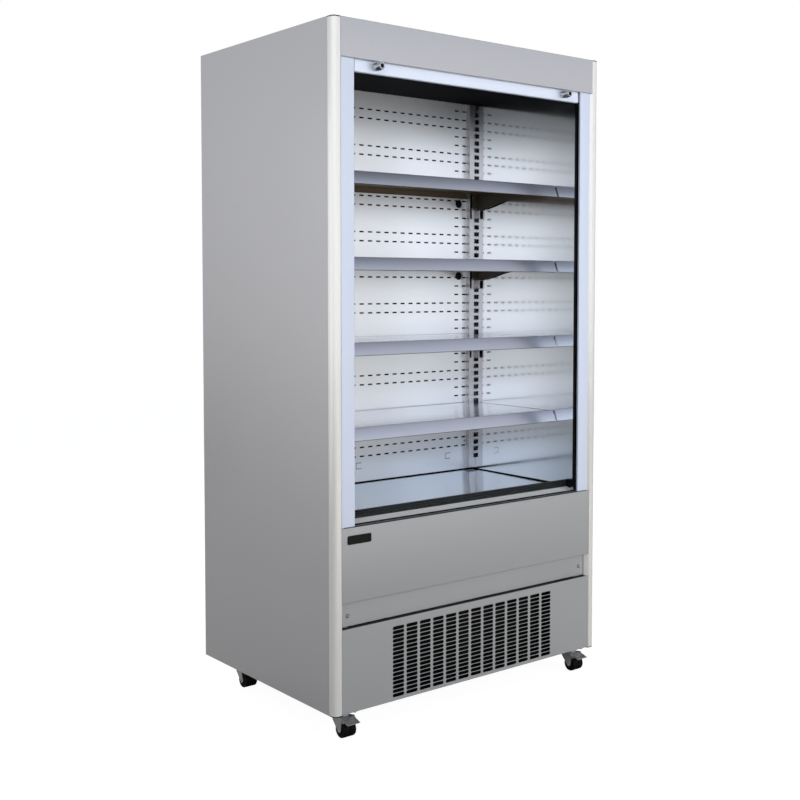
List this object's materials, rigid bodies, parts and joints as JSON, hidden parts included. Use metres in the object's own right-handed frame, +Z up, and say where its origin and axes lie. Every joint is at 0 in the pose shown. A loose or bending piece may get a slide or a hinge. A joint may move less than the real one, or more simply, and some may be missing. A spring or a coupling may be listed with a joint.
{
  "type": "open multideck display fridge",
  "caption": "Upright open-fronted multideck fridge on swivel casters, with bracketed shelves, a spring-roller night blind, a slotted lower grille and a fan-cooled machine space.",
  "frame": {"origin": "on the floor, under the middle of the bounding box", "axes": "+Z up, +Y towards the back, the open front faces -Y, +X to the right seen from the front"},
  "size_m": [1, 0.71, 1.9],
  "materials": {
    "side_paint": "satin",
    "front_paint": "satin",
    "shelf_paint": "satin",
    "bracket_paint": "satin",
    "polished_steel": "polished",
    "galvanised_steel": "satin",
    "black_paint": "satin",
    "black_plastic": "matte",
    "corner_aluminium": "satin",
    "blind_film": "satin",
    "foam": "matte",
    "tub_plastic": "matte",
    "coil_aluminium": "satin",
    "motor_steel": "satin",
    "fan_plastic": "matte",
    "compressor_paint": "satin",
    "zinc": "satin",
    "wheel_rubber": "matte"
  },
  "bodies": {
    "cabinet": {"left_side_panel": "side_paint", "right_side_panel": "side_paint", "left_liner": "polished_steel", "right_liner": "polished_steel", "rear_panel": "galvanised_steel", "rear_liner": "polished_steel", "wall_insulation": "foam", "top_panel": "galvanised_steel", "top_liner": "polished_steel", "ceiling_panel": "black_paint", "air_outlet_grille": "black_plastic", "canopy_fascia": "front_paint", "left_corner_extrusion": "corner_aluminium", "right_corner_extrusion": "corner_aluminium", "corner_caps": "black_plastic", "guide_strips": "front_paint", "guide_channels": "black_plastic", "roller_brackets": "galvanised_steel", "rear_air_panel": "polished_steel", "uprights": "polished_steel", "shelf_1": "shelf_paint", "shelf_2": "shelf_paint", "shelf_3": "shelf_paint", "shelf_4": "shelf_paint", "shelf_brackets": "bracket_paint", "deck_pan": "polished_steel", "return_grille": "black_plastic", "sill_profile": "front_paint", "front_panel": "front_paint", "band_panel": "front_paint", "grille_panel": "front_paint", "panel_screws": "zinc", "tub": "tub_plastic", "evaporator_coil": "coil_aluminium", "fan_plate": "galvanised_steel", "fan_motors": "motor_steel", "base_tray": "galvanised_steel", "cable_gland": "black_plastic", "compressor": "compressor_paint", "condenser_coil": "coil_aluminium", "condenser_shroud": "galvanised_steel", "caster_plates": "zinc"},
    "blind_roller": {"blind_roller": "corner_aluminium", "blind_roll": "blind_film"},
    "blind_rail": {"blind_rail": "front_paint", "blind_knobs": "corner_aluminium", "blind_film": "blind_film"},
    "evaporator_fan_left": {"evaporator_fan_left": "fan_plastic"},
    "evaporator_fan_right": {"evaporator_fan_right": "fan_plastic"},
    "condenser_fan": {"condenser_fan": "fan_plastic"},
    "fork_front_left": {"caster_fork_front_left": "zinc"},
    "wheel_front_left": {"caster_wheel_front_left": "wheel_rubber"},
    "pedal_front_left": {"brake_pedal_front_left": "zinc"},
    "fork_front_right": {"caster_fork_front_right": "zinc"},
    "wheel_front_right": {"caster_wheel_front_right": "wheel_rubber"},
    "pedal_front_right": {"brake_pedal_front_right": "zinc"},
    "fork_rear_left": {"caster_fork_rear_left": "zinc"},
    "wheel_rear_left": {"caster_wheel_rear_left": "wheel_rubber"},
    "fork_rear_right": {"caster_fork_rear_right": "zinc"},
    "wheel_rear_right": {"caster_wheel_rear_right": "wheel_rubber"}
  },
  "joints": [
    {"name": "blind_pull", "type": "slide", "parent": "cabinet", "child": "blind_rail", "axis": [0, 0, 1], "range_m": [-1.19, 0], "stiffness_N_per_m": 20, "springref_m": 1, "deforming": ["blind_film"]},
    {"name": "blind_roller_turn", "type": "hinge", "parent": "cabinet", "child": "blind_roller", "pos_m": [0, -0.293, 1.842], "axis": [1, 0, 0], "range_deg": [0, 2970]},
    {"name": "condenser_fan_spin", "type": "hinge", "parent": "cabinet", "child": "condenser_fan", "pos_m": [0, -0.207, 0.182], "axis": [0, 1, 0], "continuous": true},
    {"name": "evaporator_fan_left_spin", "type": "hinge", "parent": "cabinet", "child": "evaporator_fan_left", "pos_m": [-0.2, -0.185, 0.462], "axis": [0, 1, 0], "continuous": true},
    {"name": "evaporator_fan_right_spin", "type": "hinge", "parent": "cabinet", "child": "evaporator_fan_right", "pos_m": [0.2, -0.185, 0.462], "axis": [0, 1, 0], "continuous": true},
    {"name": "swivel_front_left", "type": "hinge", "parent": "cabinet", "child": "fork_front_left", "pos_m": [-0.442, -0.291, 0.06], "axis": [0, 0, 1], "continuous": true},
    {"name": "roll_front_left", "type": "hinge", "parent": "fork_front_left", "child": "wheel_front_left", "pos_m": [-0.442, -0.305, 0.022], "axis": [1, 0, 0], "continuous": true},
    {"name": "brake_front_left", "type": "hinge", "parent": "fork_front_left", "child": "pedal_front_left", "pos_m": [-0.442, -0.311, 0.051], "axis": [1, 0, 0], "range_deg": [0, 10]},
    {"name": "swivel_front_right", "type": "hinge", "parent": "cabinet", "child": "fork_front_right", "pos_m": [0.442, -0.291, 0.06], "axis": [0, 0, 1], "continuous": true},
    {"name": "roll_front_right", "type": "hinge", "parent": "fork_front_right", "child": "wheel_front_right", "pos_m": [0.442, -0.305, 0.022], "axis": [1, 0, 0], "continuous": true},
    {"name": "brake_front_right", "type": "hinge", "parent": "fork_front_right", "child": "pedal_front_right", "pos_m": [0.442, -0.311, 0.051], "axis": [1, 0, 0], "range_deg": [0, 10]},
    {"name": "swivel_rear_left", "type": "hinge", "parent": "cabinet", "child": "fork_rear_left", "pos_m": [-0.442, 0.214, 0.06], "axis": [0, 0, 1], "continuous": true},
    {"name": "roll_rear_left", "type": "hinge", "parent": "fork_rear_left", "child": "wheel_rear_left", "pos_m": [-0.442, 0.2, 0.022], "axis": [1, 0, 0], "continuous": true},
    {"name": "swivel_rear_right", "type": "hinge", "parent": "cabinet", "child": "fork_rear_right", "pos_m": [0.442, 0.214, 0.06], "axis": [0, 0, 1], "continuous": true},
    {"name": "roll_rear_right", "type": "hinge", "parent": "fork_rear_right", "child": "wheel_rear_right", "pos_m": [0.442, 0.2, 0.022], "axis": [1, 0, 0], "continuous": true}
  ],
  "couplings": [
    {"joint": "blind_roller_turn", "follows": "blind_pull", "rad_per_m": -43.478}
  ]
}
